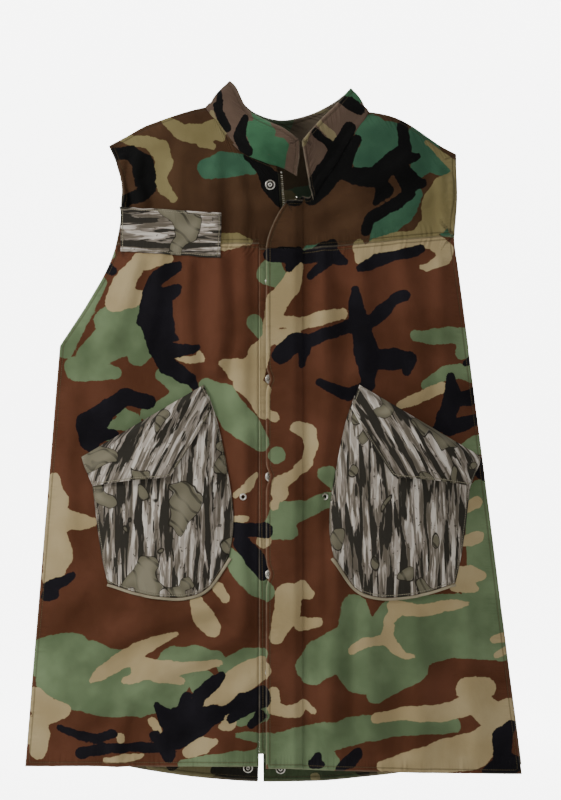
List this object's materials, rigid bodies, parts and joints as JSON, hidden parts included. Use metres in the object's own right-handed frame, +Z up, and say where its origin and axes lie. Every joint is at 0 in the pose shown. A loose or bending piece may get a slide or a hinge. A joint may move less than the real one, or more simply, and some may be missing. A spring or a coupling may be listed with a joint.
{
  "type": "fishing vest",
  "caption": "Sleeveless camouflage field vest with stand collar, zip under a snapped storm flap, two flapped pockets and a split back tail.",
  "frame": {"origin": "point between the shoulders, level with the side neck points, where a hanger carries the vest", "axes": "+X to the wearer's left, +Y to the back, +Z up; the front faces -Y"},
  "size_m": [0.7251, 0.1424, 1.0283],
  "materials": {
    "shell_camo": "cotton twill, woodland print, washed",
    "yoke_camo": "cotton twill, woodland print, darker cloth",
    "inner_facing": "cotton twill, wrong side",
    "bark_print": "cotton canvas, tree bark print",
    "pocket_binding": "woven edging",
    "zip_tape": "woven tape",
    "zip_brass": "aged metal",
    "snap_metal": "nickel plated"
  },
  "bodies": {
    "root": {"back_panel": "shell_camo", "back_yoke": "yoke_camo", "right_front_yoke": "yoke_camo", "left_front_yoke": "yoke_camo", "collar_outer": "yoke_camo", "collar_lining": "yoke_camo", "hanger_loop": "zip_tape", "storm_flap_top": "yoke_camo", "chest_patch": "bark_print", "back_waist_casing": "inner_facing", "right_tail_facing": "inner_facing", "left_tail_facing": "inner_facing", "right_tail_stud": "snap_metal", "left_tail_stud": "snap_metal", "snap_stud_1": "snap_metal", "snap_socket_1": "snap_metal"},
    "right_front": {"right_front_panel": "shell_camo", "right_underlap": "shell_camo", "right_zip_tape": "zip_tape", "right_zip_chain": "zip_brass", "right_top_stop": "snap_metal", "zip_pin": "snap_metal", "snap_stud_2": "snap_metal", "snap_stud_3": "snap_metal", "snap_stud_4": "snap_metal", "snap_stud_5": "snap_metal", "snap_stud_6": "snap_metal", "right_eyelet": "snap_metal", "right_waist_casing": "inner_facing", "right_hem_facing": "inner_facing", "right_pocket_pouch": "bark_print", "right_pocket_binding": "pocket_binding", "right_pocket_stud": "snap_metal"},
    "left_front": {"left_front_panel": "shell_camo", "left_zip_tape": "zip_tape", "left_zip_chain": "zip_brass", "left_top_stop": "snap_metal", "zip_box": "snap_metal", "left_eyelet": "snap_metal", "left_waist_casing": "inner_facing", "left_hem_facing": "inner_facing", "left_pocket_pouch": "bark_print", "left_pocket_binding": "pocket_binding", "left_pocket_stud": "snap_metal"},
    "zip_slider": {"zip_slider": "zip_brass"},
    "zip_pull": {"zip_pull": "zip_brass"},
    "storm_flap": {"storm_flap": "shell_camo", "snap_socket_2": "snap_metal", "snap_socket_3": "snap_metal", "snap_socket_4": "snap_metal", "snap_socket_5": "snap_metal", "snap_socket_6": "snap_metal"},
    "right_pocket_flap": {"right_pocket_flap": "bark_print", "right_pocket_socket": "snap_metal"},
    "left_pocket_flap": {"left_pocket_flap": "bark_print", "left_pocket_socket": "snap_metal"}
  },
  "joints": [
    {"name": "left_front_open", "type": "hinge", "parent": "root", "child": "left_front", "pos_m": [0.2752, 0, -0.345], "axis": [-0.1289, 0, 0.9917], "range_deg": [0, 60], "deforming": ["left_zip_tape", "left_zip_chain"]},
    {"name": "right_front_open", "type": "hinge", "parent": "root", "child": "right_front", "pos_m": [-0.3212, 0, -0.336], "axis": [-0.0827, 0, -0.9966], "range_deg": [0, 47], "deforming": ["right_zip_tape", "right_zip_chain", "chest_patch"]},
    {"name": "zip_slide", "type": "slide", "parent": "left_front", "child": "zip_slider", "axis": [0, -0.0372, -0.9993], "range_m": [0, 0.755]},
    {"name": "zip_pull_swing", "type": "hinge", "parent": "zip_slider", "child": "zip_pull", "pos_m": [0.01, -0.04465, -0.151], "axis": [-1, 0, 0], "range_deg": [0, 6]},
    {"name": "storm_flap_open", "type": "hinge", "parent": "left_front", "child": "storm_flap", "pos_m": [0.0332, -0.04539, -0.196], "axis": [0, 0.0368, 0.9993], "range_deg": [0, 150]},
    {"name": "right_pocket_flap_open", "type": "hinge", "parent": "right_front", "child": "right_pocket_flap", "pos_m": [-0.11, -0.05158, -0.394], "axis": [-0.8524, 0.1435, -0.5028], "range_deg": [0, 115]},
    {"name": "left_pocket_flap_open", "type": "hinge", "parent": "left_front", "child": "left_pocket_flap", "pos_m": [0.115, -0.04972, -0.394], "axis": [-0.8453, -0.1919, 0.4986], "range_deg": [0, 115]}
  ],
  "couplings": [
    {"joint": "right_front_open", "follows": "left_front_open", "ratio": 0.78},
    {"joint": "zip_slide", "follows": "left_front_open", "m_per_rad": 0.72}
  ]
}
